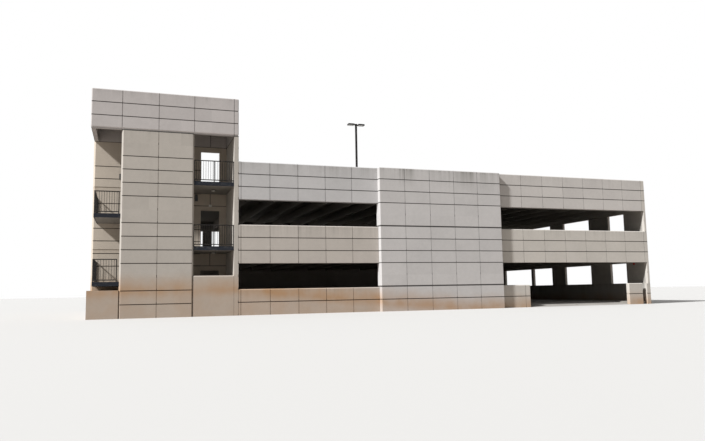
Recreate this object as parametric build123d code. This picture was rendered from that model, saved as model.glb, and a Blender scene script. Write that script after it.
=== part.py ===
from build123d import *
import os

# Multi storey car park of precast concrete panels with an open stair tower, in millimetres.
# While it is drawn, X runs along the front from the tower's left side, Y runs back from the
# front plane, and Z runs up from the lowest paving. It is centred over its base at the end.

# Setting out
COURSE = 665.0            # height of one course of the panels
MODULE = 1520.0           # width of one panel module, and spacing of the deck's stems
CLOSED_MODULE = 1540.0    # modules of the closed section
RIGHT_MODULE = 1510.0     # modules right of the closed section
GROUND_SLAB = 200.0       # thickness of the ground slab, its top is the first floor level
STOREY = 3325.0           # floor to floor
DEPTH = 18240.0           # front plane to the back of the deck, one clear span

# Courses from the paving up to each edge of the panels
COURSE_COUNT = {
    "ground": 0,
    "sill_top": 2,
    "spandrel_foot": 4,
    "spandrel_top": 7,
    "parapet_foot": 9,
    "parapet_top": 12,
    "crown_foot": 14,
    "crown_top": 17,
}
TALL_COURSES = (3, 8, 13)      # lines that have no reveal, because the panel there is two courses tall
MODULE_COUNT = {"open": 5, "closed": 5, "right": 7}

# Panels, their reveals and joints
WALL = 225.0              # thickness of a precast wall panel
END_WALL = 300.0          # thickness of the right end wall
CHAMFER = 40.0            # chamfer along the outer top and corner edges of a panel
TOWER_CHAMFER = 80.0      # chamfer along the upright edges of the tower's walls
REVEAL_WIDTH = 45.0       # level reveals
UPRIGHT_REVEAL = 30.0     # upright reveals
REVEAL_DEPTH = 20.0
BED_JOINT = 80.0          # height of the joint between stacked panels, from the course line up
JOINT = 12.0              # open joint between neighbouring panels
CORNER_JOINT = 25.0       # open joint where a front panel meets the edge of a side panel
PROUD = 280.0             # how far the closed section stands in front of the others
CLOSED_GAP = 110.0        # from the closed section's right side to the first module beyond it

# Entrance
ENTRANCE_LEFT_WALL = 1965.0    # length of the low wall left of the entrance
ENTRANCE_CLEAR = 7270.0        # width of the car entrance
ENTRANCE_RIGHT_WALL = 1115.0   # length of the low wall right of the entrance
APRON_SLOPE = 1400.0           # length of the sloped edge of the slab in the entrance

# Tower
LEFT_BAY = 1440.0
FRONT_WALL_WIDTH = 3500.0
RIGHT_BAY = 2035.0
TOWER_DEPTH = 3060.0           # front plane to the face of the tower's back wall
TOWER_GAP = 125.0              # from the tower's side to the first module
LOW_WALL_HEIGHT = 2035.0
BASE_WALL_HEIGHT = 1365.0      # walls below the lower half landing, up to the planted ground
ROOF_SLAB = 200.0
ROOF_DROP = 665.0              # from the top of the crown down to the tower's roof
DOOR_WIDTH = 1024.0
DOOR_HEIGHT = 2200.0
DOOR_TO_SIDE_WALL = 372.0

# Stair
LOWER_RISERS = 9               # risers of a flight from a floor up to a half landing
UPPER_RISERS = 10              # risers of a flight from a half landing up to a floor
TREAD = 290.0
STAIR_WELL = 255.0             # clear width between the flights, where their guards stand
FLIGHT_WAIST = 150.0           # upright thickness of a flight under its steps
LANDING_SLAB = 200.0
LANDING_SETBACK = 60.0         # landing edge behind the front plane
CHANNEL_DEPTH = 60.0           # steel channel round the free edges of a landing
CHANNEL_PLATE = 10.0

# Railings
RAIL_HEIGHT = 1110.0
RAIL_BAR = 45.0                # square bars of the posts and rails
PICKET = 16.0
PICKET_SPACING = 118.0
BOTTOM_RAIL_GAP = 70.0
RAIL_SETBACK = 8.0             # outer face of a railing behind the landing edge
RAIL_CLEARANCE = 5.0           # between two railings that meet at a corner
GUARD_HEIGHT = 900.0           # sloped guards of the flights
GUARD_RAILS = 4                # rails in a sloped guard

# Decks
DECK_SLAB = 150.0              # flange with its topping
STEM_DEPTH = 500.0
STEM_TOP = 200.0
STEM_BOTTOM = 120.0
LEDGE_DEPTH = 200.0            # bearing ledge on the back of a panel
LEDGE_HEIGHT = 200.0
BEARING_PAD = 15.0

# Openings and piers of the end walls, from the front plane back
CORNER_PIER = 1850.0
RIGHT_PIER_THICKNESS = 175.0   # piers of the right end wall, flush with its outer face
RIGHT_OPENINGS = (1530.0, 2970.0, 2515.0)
RIGHT_PIERS = (2010.0, 1610.0, 300.0)
RIGHT_LAST_PIER = 1480.0
BACK_PIER = 700.0
TOWER_PIER = 900.0             # pier of the left wall beside the tower
LEFT_MIDDLE_PIER = 900.0

# Light mast on the roof deck
MAST_X = 16930.0
MAST_Y = 9120.0
MAST_HEIGHT = 6000.0
MAST_WIDTH = 125.0
PEDESTAL = 500.0
PEDESTAL_HEIGHT = 650.0
ARM_REACH = 375.0
ARM_WIDTH = 60.0
LAMP_LENGTH = 460.0
LAMP_WIDTH = 330.0
LAMP_HEIGHT = 110.0

# Lights of the tower
FLOODLIGHT = (180.0, 240.0, 300.0)
FLOODLIGHT_DROP = 330.0        # from the foot of the crown up to the floodlight's foot
CEILING_LIGHT = 260.0
CEILING_LIGHT_HEIGHT = 90.0

# Places worked out from the sizes above
FLOOR_1 = GROUND_SLAB
FLOOR_2 = FLOOR_1 + STOREY
ROOF_DECK = FLOOR_2 + STOREY
RISER = STOREY / (LOWER_RISERS + UPPER_RISERS)
HALF_LEVEL_LOWER = FLOOR_1 + LOWER_RISERS * RISER
HALF_LEVEL_UPPER = FLOOR_2 + LOWER_RISERS * RISER
FRONT_WALL_LEFT = LEFT_BAY
FRONT_WALL_RIGHT = FRONT_WALL_LEFT + FRONT_WALL_WIDTH
FRONT_WALL_MIDDLE = FRONT_WALL_LEFT + FRONT_WALL_WIDTH / 2
SIDE_WALL_FACE = FRONT_WALL_RIGHT + RIGHT_BAY
TOWER_RIGHT = SIDE_WALL_FACE + WALL
TOWER_BACK = TOWER_DEPTH + WALL
MODULE_START = TOWER_RIGHT + TOWER_GAP
CLOSED_LEFT = MODULE_START + MODULE_COUNT["open"] * MODULE
CLOSED_RIGHT = CLOSED_LEFT + MODULE_COUNT["closed"] * CLOSED_MODULE
RIGHT_START = CLOSED_RIGHT + CLOSED_GAP
END_FACE = RIGHT_START + MODULE_COUNT["right"] * RIGHT_MODULE
LENGTH = END_FACE + END_WALL
BACK_FACE = DEPTH - WALL
ENTRANCE_LEFT = CLOSED_RIGHT + ENTRANCE_LEFT_WALL
ENTRANCE_RIGHT = ENTRANCE_LEFT + ENTRANCE_CLEAR
DOOR_RIGHT = SIDE_WALL_FACE - DOOR_TO_SIDE_WALL
DOOR_LEFT = DOOR_RIGHT - DOOR_WIDTH
UPPER_RUN = (UPPER_RISERS - 1) * TREAD
FLIGHT_LEFT = FRONT_WALL_LEFT + (FRONT_WALL_WIDTH - UPPER_RUN) / 2
FLIGHT_RIGHT = FLIGHT_LEFT + UPPER_RUN
LOWER_FOOT = FLIGHT_LEFT + (LOWER_RISERS - 1) * TREAD
HALF_LANDING_LEFT = WALL
FLIGHT_WIDTH = (TOWER_DEPTH - WALL - STAIR_WELL) / 2
FRONT_FLIGHT_Y = WALL
BACK_FLIGHT_Y = TOWER_DEPTH - FLIGHT_WIDTH
RAIL_Y = LANDING_SETBACK + RAIL_SETBACK
CENTRE_X = LENGTH / 2
CENTRE_Y = (DEPTH - PROUD) / 2

# Start, end and risers of the two kinds of flight: a lower one climbs to the left, an upper one back
FLIGHT = {
    "lower": (LOWER_FOOT, FLIGHT_LEFT, LOWER_RISERS),
    "upper": (FLIGHT_LEFT, FLIGHT_RIGHT, UPPER_RISERS),
}
FACE = {"front": (Axis.Y, 0), "back": (Axis.Y, -1), "left": (Axis.X, 0), "right": (Axis.X, -1), "top": (Axis.Z, -1)}
MIN_CORNER = (Align.MIN, Align.MIN, Align.MIN)
STANDING = (Align.CENTER, Align.CENTER, Align.MIN)


def course(edge):
    """Height of a panel edge above the paving."""
    return COURSE_COUNT[edge] * COURSE


def block(x0, x1, y0, y1, z0, z1):
    """A box between two corners."""
    return Pos(x0, y0, z0) * Box(x1 - x0, y1 - y0, z1 - z0, align=MIN_CORNER)


def modules(start, count, width=MODULE):
    """Places of the upright reveals of a run of modules."""
    return [start + i * width for i in range(count + 1)]


def reveal_levels():
    """Heights of the level reveals, with their widths."""
    top = COURSE_COUNT["crown_top"]
    return [(n * COURSE, REVEAL_WIDTH) for n in range(1, top) if n not in TALL_COURSES]


def cut_reveals(wall, side, uprights=(), levels=None):
    """Cuts the reveal lines into one outer face of a panel, from edge to edge."""
    box = wall.bounding_box()
    low, high = box.min, box.max
    along_x = side in ("front", "back")
    outer, inward = {
        "front": (low.Y, 1),
        "back": (high.Y, -1),
        "left": (low.X, 1),
        "right": (high.X, -1),
    }[side]
    near, far = sorted((outer, outer + inward * REVEAL_DEPTH))
    cuts = []
    for z, width in levels or reveal_levels():
        if low.Z + width < z < high.Z - width:
            z0, z1 = z - width / 2, z + width / 2
            if along_x:
                cuts.append(block(low.X, high.X, near, far, z0, z1))
            else:
                cuts.append(block(near, far, low.Y, high.Y, z0, z1))
    start, end = (low.X, high.X) if along_x else (low.Y, high.Y)
    half = UPRIGHT_REVEAL / 2
    for u in uprights:
        if start + UPRIGHT_REVEAL < u < end - UPRIGHT_REVEAL:
            if along_x:
                cuts.append(block(u - half, u + half, near, far, low.Z, high.Z))
            else:
                cuts.append(block(near, far, u - half, u + half, low.Z, high.Z))
    return wall - cuts if cuts else wall


def edge_between(box, first, second):
    """The edge where two outer faces of a box meet."""
    edges = box.edges()
    for axis, end in (FACE[first], FACE[second]):
        edges = edges.group_by(axis)[end]
    return edges[0]


def finish_panel(wall, side, corners=(), uprights=(), levels=None):
    """Chamfers and reveals of a plain panel, which also run round its free corners."""
    edges = [edge_between(wall, face, "top") for face in (side, *corners)]
    edges += [edge_between(wall, side, corner) for corner in corners]
    wall = cut_reveals(chamfer(edges, CHAMFER), side, uprights, levels)
    for corner in corners:
        wall = cut_reveals(wall, corner, levels=levels)
    return wall


def panel(x0, x1, y0, y1, foot, top, side, uprights=(), corners=()):
    """A precast wall panel between two course edges."""
    wall = block(x0, x1, y0, y1, course(foot), course(top))
    return finish_panel(wall, side, corners, uprights)


def ledge(x0, x1, face, inward, floor):
    """The ledge on the inside of a panel that the deck stems rest on."""
    top = floor - DECK_SLAB - STEM_DEPTH - BEARING_PAD
    y0, y1 = sorted((face, face + inward * LEDGE_DEPTH))
    return block(x0, x1, y0, y1, top - LEDGE_HEIGHT, top)


# Tower walls and crown

def tower_front_wall():
    wall = block(FRONT_WALL_LEFT, FRONT_WALL_RIGHT, 0, WALL, 0, course("crown_foot"))
    corners = [edge_between(wall, "front", end) for end in ("left", "right")]
    return cut_reveals(chamfer(corners, TOWER_CHAMFER), "front", [FRONT_WALL_MIDDLE])


def tower_side_wall():
    wall = block(SIDE_WALL_FACE, TOWER_RIGHT, 0, TOWER_BACK, 0, course("crown_foot"))
    return cut_reveals(wall, "right", [TOWER_BACK / 2])


def tower_low_wall():
    wall = block(FRONT_WALL_RIGHT + JOINT, SIDE_WALL_FACE - JOINT, 0, WALL, 0, LOW_WALL_HEIGHT)
    return chamfer(edge_between(wall, "front", "top"), CHAMFER)


def tower_base_walls():
    front = block(0, FRONT_WALL_LEFT - JOINT, 0, WALL, 0, BASE_WALL_HEIGHT)
    return front + block(0, WALL, 0, TOWER_DEPTH, 0, BASE_WALL_HEIGHT)


def tower_back_wall_left():
    wall = block(0, DOOR_LEFT, TOWER_DEPTH, TOWER_BACK, 0, course("crown_foot"))
    wall = chamfer(edge_between(wall, "front", "left"), TOWER_CHAMFER)
    floors = [(FLOOR_2, REVEAL_WIDTH), (ROOF_DECK, REVEAL_WIDTH)]
    return cut_reveals(wall, "front", [FRONT_WALL_RIGHT], reveal_levels() + floors)


def tower_back_wall_right():
    return block(DOOR_RIGHT, SIDE_WALL_FACE, TOWER_DEPTH, TOWER_BACK, 0, course("crown_foot"))


def tower_door_heads():
    """The wall over each of the three doorways."""
    tops = [FLOOR_2, ROOF_DECK, course("crown_foot")]
    return [
        block(DOOR_LEFT, DOOR_RIGHT, TOWER_DEPTH, TOWER_BACK, floor + DOOR_HEIGHT, top)
        for floor, top in zip([FLOOR_1, FLOOR_2, ROOF_DECK], tops)
    ]


def crown_panel(x0, x1, y0, y1, side, uprights, corners=()):
    """A panel of the crown, standing on the walls, with a shadow line cut along its foot."""
    wall = panel(x0, x1, y0, y1, "crown_foot", "crown_top", side, uprights, corners)
    lines = {
        "front": (x0, x1, y0, y0 + REVEAL_DEPTH),
        "back": (x0, x1, y1 - REVEAL_DEPTH, y1),
        "left": (x0, x0 + REVEAL_DEPTH, y0, y1),
        "right": (x1 - REVEAL_DEPTH, x1, y0, y1),
    }
    foot = course("crown_foot")
    return wall - [block(*lines[face], foot, foot + BED_JOINT) for face in (side, *corners)]


def crown():
    uprights = [FRONT_WALL_LEFT, FRONT_WALL_MIDDLE, FRONT_WALL_RIGHT]
    front_end = SIDE_WALL_FACE - CORNER_JOINT
    middle = [TOWER_BACK / 2]
    return {
        "crown_front": crown_panel(0, front_end, 0, WALL, "front", uprights, ["left"]),
        "crown_back": crown_panel(0, front_end, TOWER_DEPTH, TOWER_BACK, "back", uprights, ["left"]),
        "crown_left": crown_panel(0, WALL, WALL, TOWER_DEPTH, "left", middle),
        "crown_right": crown_panel(SIDE_WALL_FACE, TOWER_RIGHT, 0, TOWER_BACK, "right", middle, ["front", "back"]),
    }


def tower_roof():
    top = course("crown_top") - ROOF_DROP
    return block(WALL, SIDE_WALL_FACE, WALL, TOWER_DEPTH, top - ROOF_SLAB, top)


def tower_lights():
    """Floodlight on the left crown panel, and a round light under each floor landing."""
    width, depth, height = FLOODLIGHT
    foot = course("crown_foot") + FLOODLIGHT_DROP
    lights = [block(WALL, WALL + width, TOWER_DEPTH / 2, TOWER_DEPTH / 2 + depth, foot, foot + height)]
    for level in (FLOOR_2, ROOF_DECK):
        place = Pos((DOOR_LEFT + DOOR_RIGHT) / 2, TOWER_DEPTH / 2, level - LANDING_SLAB - CEILING_LIGHT_HEIGHT)
        lights.append(place * Cylinder(CEILING_LIGHT / 2, CEILING_LIGHT_HEIGHT, align=STANDING))
    return lights


# Stair

def landing(x0, x1, level, notch_x0, notch_x1):
    """A landing slab from its front channel to the back wall, cut out behind the front wall."""
    front = LANDING_SETBACK + CHANNEL_DEPTH
    slab = block(x0, x1, front, TOWER_DEPTH, level - LANDING_SLAB, level)
    return slab - block(notch_x0, notch_x1, front, WALL, level - LANDING_SLAB, level)


def half_landing(level):
    return landing(HALF_LANDING_LEFT + CHANNEL_DEPTH, FLIGHT_LEFT, level, FRONT_WALL_LEFT, FLIGHT_LEFT)


def floor_landing(level):
    return landing(FLIGHT_RIGHT, SIDE_WALL_FACE, level, FLIGHT_RIGHT, FRONT_WALL_RIGHT)


def level_2_landing():
    """The landing on level 2, which reaches further left to the foot of the next lower flight."""
    reach = block(LOWER_FOOT, FLIGHT_RIGHT, BACK_FLIGHT_Y, TOWER_DEPTH, FLOOR_2 - LANDING_SLAB, FLOOR_2)
    return floor_landing(FLOOR_2) + reach


def front_channel(x0, x1, level):
    """A channel along the front of a landing, its flat web outwards."""
    y0, y1 = LANDING_SETBACK, LANDING_SETBACK + CHANNEL_DEPTH
    whole = block(x0, x1, y0, y1, level - LANDING_SLAB, level)
    return whole - block(x0, x1, y0 + CHANNEL_PLATE, y1, level - LANDING_SLAB + CHANNEL_PLATE, level - CHANNEL_PLATE)


def side_channel(level):
    """A channel along the left side of a half landing, its flat web outwards."""
    x0, x1 = HALF_LANDING_LEFT, HALF_LANDING_LEFT + CHANNEL_DEPTH
    y0 = LANDING_SETBACK + CHANNEL_DEPTH
    whole = block(x0, x1, y0, TOWER_DEPTH, level - LANDING_SLAB, level)
    foot, top = level - LANDING_SLAB + CHANNEL_PLATE, level - CHANNEL_PLATE
    return whole - block(x0 + CHANNEL_PLATE, x1, y0, TOWER_DEPTH, foot, top)


def landing_channels():
    """The steel channels round the free edges of the four landings."""
    half = [
        front_channel(HALF_LANDING_LEFT, FRONT_WALL_LEFT, level) + side_channel(level)
        for level in (HALF_LEVEL_LOWER, HALF_LEVEL_UPPER)
    ]
    return half + [front_channel(FRONT_WALL_RIGHT, SIDE_WALL_FACE, level) for level in (FLOOR_2, ROOF_DECK)]


def flight(foot, y0, kind):
    """One flight: steps on top and a straight soffit."""
    start, end, risers = FLIGHT[kind]
    way = 1 if end > start else -1
    steps = [(start, foot)]
    for i in range(risers - 1):
        tread_level = foot + (i + 1) * RISER
        steps.append((start + way * i * TREAD, tread_level))
        steps.append((start + way * (i + 1) * TREAD, tread_level))
    top_soffit = (end, steps[-1][1] - FLIGHT_WAIST)
    if foot > FLOOR_1:
        foot_soffit = (start, foot - FLIGHT_WAIST)
    else:
        foot_soffit = (start + way * TREAD, foot)
    outline = make_face(Polyline(*steps, top_soffit, foot_soffit, close=True))
    return extrude(Plane.XZ.offset(-y0) * outline, -FLIGHT_WIDTH)


def stair_flights():
    return {
        "stair_flight_1": flight(FLOOR_1, BACK_FLIGHT_Y, "lower"),
        "stair_flight_2": flight(HALF_LEVEL_LOWER, FRONT_FLIGHT_Y, "upper"),
        "stair_flight_3": flight(FLOOR_2, BACK_FLIGHT_Y, "lower"),
        "stair_flight_4": flight(HALF_LEVEL_UPPER, FRONT_FLIGHT_Y, "upper"),
    }


def sloped_bar(start, end, drop, y0):
    """A rail of a sloped guard: a bar between two points, plumb at both ends."""
    (x0, z0), (x1, z1) = start, end
    outline = Polyline((x0, z0 - drop), (x1, z1 - drop), (x1, z1 - drop - RAIL_BAR),
                       (x0, z0 - drop - RAIL_BAR), close=True)
    return extrude(Plane.XZ.offset(-y0) * make_face(outline), -RAIL_BAR)


def sloped_guard(foot, y0, kind):
    """The guard on the inner side of one flight, its posts fixed to the flight's side."""
    x0, x1, risers = FLIGHT[kind]
    way = 1 if x1 > x0 else -1
    low = (x0, foot + RISER + GUARD_HEIGHT)
    high = (x1, foot + risers * RISER + GUARD_HEIGHT)
    rails = [sloped_bar(low, high, i * GUARD_HEIGHT / GUARD_RAILS, y0) for i in range(GUARD_RAILS)]
    slope = (high[1] - low[1]) / (x1 - x0)
    posts = []
    for share in (0, 1 / 2, 1):
        x = x0 + share * (x1 - x0 - way * RAIL_BAR)
        left, right = sorted((x, x + way * RAIL_BAR))
        top = low[1] + slope * (x - x0)
        posts.append(block(left, right, y0, y0 + RAIL_BAR, top - GUARD_HEIGHT - RISER, top - RAIL_BAR / 2))
    return rails[0].fuse(*rails[1:], *posts)


def stair_guards():
    """Guards beside the stair well, and one across the well's end on the roof landing."""
    inner_front = FRONT_FLIGHT_Y + FLIGHT_WIDTH
    inner_back = BACK_FLIGHT_Y - RAIL_BAR
    guards = [
        sloped_guard(FLOOR_1, inner_back, "lower"),
        sloped_guard(HALF_LEVEL_LOWER, inner_front, "upper"),
        sloped_guard(FLOOR_2, inner_back, "lower"),
        sloped_guard(HALF_LEVEL_UPPER, inner_front, "upper"),
    ]
    across = TOWER_DEPTH - inner_front - RAIL_CLEARANCE
    end_rail = Pos(FLIGHT_RIGHT + RAIL_BAR, inner_front + RAIL_CLEARANCE, ROOF_DECK) * Rot(0, 0, 90) * railing(across)
    return guards + [end_rail]


def railing(length, mid_posts=0):
    """A straight railing along X from the origin, standing on Z = 0, as one welded piece."""
    pieces = [block(0, length, 0, RAIL_BAR, BOTTOM_RAIL_GAP, BOTTOM_RAIL_GAP + RAIL_BAR)]
    spacing = (length - RAIL_BAR) / (mid_posts + 1)
    posts = [i * spacing for i in range(mid_posts + 2)]
    for x in posts:
        pieces.append(block(x, x + RAIL_BAR, 0, RAIL_BAR, 0, RAIL_HEIGHT))
    inset = (RAIL_BAR - PICKET) / 2
    count = round(length / PICKET_SPACING)
    for i in range(1, count):
        x = i * length / count
        if all(abs(x - post - RAIL_BAR / 2) > RAIL_BAR for post in posts):
            pieces.append(block(x - PICKET / 2, x + PICKET / 2, inset, inset + PICKET,
                                BOTTOM_RAIL_GAP, RAIL_HEIGHT))
    rail = block(0, length, 0, RAIL_BAR, RAIL_HEIGHT - RAIL_BAR, RAIL_HEIGHT)
    return rail.fuse(*pieces)


def half_landing_railings(level, front_end):
    """Front and left railings of a half landing, which meet at the outer corner."""
    corner = HALF_LANDING_LEFT + RAIL_SETBACK
    front = Pos(corner, RAIL_Y, level) * railing(front_end - corner)
    side_start = RAIL_Y + RAIL_BAR + RAIL_CLEARANCE
    side = Pos(corner + RAIL_BAR, side_start, level) * Rot(0, 0, 90) * railing(TOWER_DEPTH - side_start, 1)
    return [front, side]


def floor_landing_railing(level):
    return Pos(FRONT_WALL_RIGHT, RAIL_Y, level) * railing(RIGHT_BAY, 1)


# Deck front

def left_front_panel(foot, top):
    x0, x1 = TOWER_RIGHT + JOINT, CLOSED_LEFT - JOINT
    return panel(x0, x1, 0, WALL, foot, top, "front", modules(MODULE_START, MODULE_COUNT["open"]))


def left_front_beam(foot, top, floor):
    """A front panel of the open part, with the ledge for the deck."""
    return left_front_panel(foot, top) + ledge(TOWER_RIGHT + JOINT, CLOSED_LEFT - JOINT, WALL, 1, floor)


def closed_wall():
    """The proud section without openings, with a return at each end back to the front plane."""
    wall = block(CLOSED_LEFT, CLOSED_RIGHT, -PROUD, WALL, 0, course("parapet_top"))
    stacked = [course("sill_top"), course("spandrel_top")]
    levels = [(z, width) for z, width in reveal_levels() if z not in stacked]
    levels += [(z + BED_JOINT / 2, BED_JOINT) for z in stacked]
    uprights = modules(CLOSED_LEFT, MODULE_COUNT["closed"], CLOSED_MODULE)
    wall = finish_panel(wall, "front", ["left", "right"], uprights, levels)
    return wall - block(CLOSED_LEFT + WALL, CLOSED_RIGHT - WALL, WALL - PROUD, WALL, 0, course("parapet_top"))


def closed_wall_ledges():
    """Ledge beams inside the closed section that carry the deck stems."""
    return [
        block(CLOSED_LEFT + WALL, CLOSED_RIGHT - WALL, WALL - PROUD, WALL, step.Z, step.Z + LEDGE_HEIGHT)
        + ledge(CLOSED_LEFT + WALL, CLOSED_RIGHT - WALL, WALL, 1, floor)
        for floor in (FLOOR_2, ROOF_DECK)
        for step in [ledge(CLOSED_LEFT, CLOSED_RIGHT, WALL, 1, floor).bounding_box().min]
    ]


def right_uprights():
    """Places of the upright reveals right of the closed section."""
    return modules(RIGHT_START, MODULE_COUNT["right"], RIGHT_MODULE)[1:]


def right_front_beam(foot, top, floor):
    """A front panel over the entrance, up to the edge of the end wall."""
    x0, x1 = CLOSED_RIGHT + JOINT, END_FACE - CORNER_JOINT
    return panel(x0, x1, 0, WALL, foot, top, "front", right_uprights()) + ledge(x0, x1, WALL, 1, floor)


def entrance_low_walls():
    """Low walls on both sides of the car entrance."""
    right_end = ENTRANCE_RIGHT + ENTRANCE_RIGHT_WALL
    left = (CLOSED_RIGHT + JOINT, ENTRANCE_LEFT, 0, WALL, "ground", "sill_top", "front")
    right = (ENTRANCE_RIGHT, right_end, 0, WALL, "ground", "sill_top", "front")
    return [panel(*left, right_uprights(), ["right"]), panel(*right, (), ["left", "right"])]


# End walls and back wall

def right_wall_panel(foot, top):
    uprights = modules(0, int(DEPTH / MODULE))
    return panel(END_FACE, LENGTH, 0, DEPTH, foot, top, "right", uprights, ["front", "back"])


def piers(x0, x1, spans):
    """Wall piers in both storeys, one solid for each span of Y."""
    return [
        block(x0, x1, y0, y1, course(foot), course(top))
        for foot, top in (("sill_top", "spandrel_foot"), ("spandrel_top", "parapet_foot"))
        for y0, y1 in spans
    ]


def right_wall_piers():
    """Piers of the right end wall, those at its corners chamfered like the panels."""
    spans =[(0, CORNER_PIER)]
    for opening, width in zip(RIGHT_OPENINGS, RIGHT_PIERS):
        start = spans[-1][1] + opening
        spans.append((start, start + width))
    spans.append((DEPTH - RIGHT_LAST_PIER, DEPTH))
    blocks = piers(LENGTH - RIGHT_PIER_THICKNESS, LENGTH, spans)
    corners = {0: "front", len(spans) - 1: "back"}
    for i, pier in enumerate(blocks):
        if i % len(spans) in corners:
            blocks[i] = chamfer(edge_between(pier, corners[i % len(spans)], "right"), CHAMFER)
    return blocks


def left_wall_panel(foot, top):
    uprights = modules(TOWER_BACK, int((DEPTH - TOWER_BACK) / MODULE))
    return panel(0, WALL, TOWER_BACK, DEPTH, foot, top, "left", uprights, ["back"])


def left_wall_piers():
    back_start = DEPTH - BACK_PIER
    middle = (TOWER_BACK + TOWER_PIER + back_start - LEFT_MIDDLE_PIER) / 2
    spans = [(TOWER_BACK, TOWER_BACK + TOWER_PIER), (middle, middle + LEFT_MIDDLE_PIER), (back_start, DEPTH)]
    return piers(0, WALL, spans)


def back_panel(foot, top, floor):
    """A back panel with the ledge for the deck, its upright reveals three modules apart."""
    x0, x1 = WALL + JOINT, END_FACE - JOINT
    count = int((x1 - x0) / MODULE)
    uprights = [END_FACE - i * MODULE for i in range(3, count, 3)]
    wall = panel(x0, x1, BACK_FACE, DEPTH, foot, top, "back", uprights)
    return wall + ledge(x0, x1, BACK_FACE, -1, floor)


def back_wall_piers():
    """Piers of the back wall's upper storey, behind the ends of the front's sections."""
    places = (TOWER_RIGHT, CLOSED_LEFT, CLOSED_RIGHT, (CLOSED_RIGHT + END_FACE) / 2)
    foot, top = course("spandrel_top"), course("parapet_foot")
    return [block(x, x + BACK_PIER, BACK_FACE, DEPTH, foot, top) for x in places]


# Floors

def ground_slab():
    slab = block(WALL, END_FACE, WALL, BACK_FACE, 0, FLOOR_1)
    slab += block(ENTRANCE_LEFT, ENTRANCE_RIGHT, 0, WALL, 0, FLOOR_1)
    slab -= block(SIDE_WALL_FACE, TOWER_RIGHT, 0, TOWER_BACK, 0, FLOOR_1)
    slab -= block(WALL, SIDE_WALL_FACE, TOWER_DEPTH, TOWER_BACK, 0, FLOOR_1)
    wedge = Polyline((0, 0), (APRON_SLOPE, FLOOR_1), (0, FLOOR_1), close=True)
    apron = extrude(Plane.YZ.offset(ENTRANCE_LEFT) * make_face(wedge), ENTRANCE_CLEAR)
    return slab - apron


def stem(x, y0, top):
    """One tapered stem under a deck flange, back to the back wall."""
    low = top - STEM_DEPTH
    outline = Polyline((x - STEM_TOP / 2, top), (x - STEM_BOTTOM / 2, low), (x + STEM_BOTTOM / 2, low),
                       (x + STEM_TOP / 2, top), close=True)
    return extrude(Plane.XZ.offset(-y0) * make_face(outline), y0 - BACK_FACE)


def deck(x0, x1, y0, first_stem, level):
    """A stretch of double tee deck, joined by its topping into one slab."""
    slab = block(x0, x1, y0, BACK_FACE, level - DECK_SLAB, level)
    count = int((x1 - STEM_TOP - first_stem) / MODULE) + 1
    stems = [stem(first_stem + i * MODULE, y0, level - DECK_SLAB) for i in range(count)]
    return slab.fuse(*stems)


def main_deck(level):
    return deck(TOWER_RIGHT, END_FACE, WALL, MODULE_START + MODULE / 2, level)


def tower_deck(level):
    return deck(WALL, TOWER_RIGHT, TOWER_BACK, WALL + MODULE / 2, level)


# Light mast

def light_mast():
    """Round concrete pedestal with a square steel mast."""
    foot = Pos(MAST_X, MAST_Y, ROOF_DECK) * Cylinder(PEDESTAL / 2, PEDESTAL_HEIGHT, align=STANDING)
    shaft = Pos(MAST_X, MAST_Y, ROOF_DECK + PEDESTAL_HEIGHT) * Box(
        MAST_WIDTH, MAST_WIDTH, MAST_HEIGHT - PEDESTAL_HEIGHT, align=STANDING)
    return foot + shaft


def mast_lamps():
    """Cross arm on the mast's top with a flat lamp at each end."""
    top = ROOF_DECK + MAST_HEIGHT
    arm = Pos(MAST_X, MAST_Y, top) * Box(2 * ARM_REACH, ARM_WIDTH, ARM_WIDTH, align=STANDING)
    lamps = []
    for way in (-1, 1):
        lamp = Pos(MAST_X + way * ARM_REACH, MAST_Y, top) * Box(LAMP_LENGTH, LAMP_WIDTH, LAMP_HEIGHT, align=STANDING)
        lamps.append(chamfer(lamp.edges().filter_by(Axis.Z), LAMP_HEIGHT / 3))
    return arm.fuse(*lamps)


def tower_pieces():
    return {
        "tower_front_wall": tower_front_wall(),
        "tower_side_wall": tower_side_wall(),
        "tower_low_wall": tower_low_wall(),
        "tower_base_walls": tower_base_walls(),
        "tower_back_wall_left": tower_back_wall_left(),
        "tower_back_wall_right": tower_back_wall_right(),
        "tower_door_heads": tower_door_heads(),
        "tower_roof": tower_roof(),
        "tower_lights": tower_lights(),
    } | crown()


def stair_pieces():
    return {
        "half_landing_lower": half_landing(HALF_LEVEL_LOWER),
        "half_landing_upper": half_landing(HALF_LEVEL_UPPER),
        "level_2_landing": level_2_landing(),
        "roof_landing": floor_landing(ROOF_DECK),
        "landing_channels": landing_channels(),
        "half_landing_lower_railing": half_landing_railings(HALF_LEVEL_LOWER, FRONT_WALL_LEFT - 2 * RAIL_BAR),
        "half_landing_upper_railing": half_landing_railings(HALF_LEVEL_UPPER, FRONT_WALL_LEFT - RAIL_BAR),
        "level_2_landing_railing": floor_landing_railing(FLOOR_2),
        "roof_landing_railing": floor_landing_railing(ROOF_DECK),
        "stair_guards": stair_guards(),
    } | stair_flights()


def front_pieces():
    return {
        "front_sill_wall": left_front_panel("ground", "sill_top"),
        "front_spandrel": left_front_beam("spandrel_foot", "spandrel_top", FLOOR_2),
        "front_parapet": left_front_beam("parapet_foot", "parapet_top", ROOF_DECK),
        "closed_wall": closed_wall(),
        "closed_wall_ledges": closed_wall_ledges(),
        "entrance_spandrel": right_front_beam("spandrel_foot", "spandrel_top", FLOOR_2),
        "entrance_parapet": right_front_beam("parapet_foot", "parapet_top", ROOF_DECK),
        "entrance_low_walls": entrance_low_walls(),
    }


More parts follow.
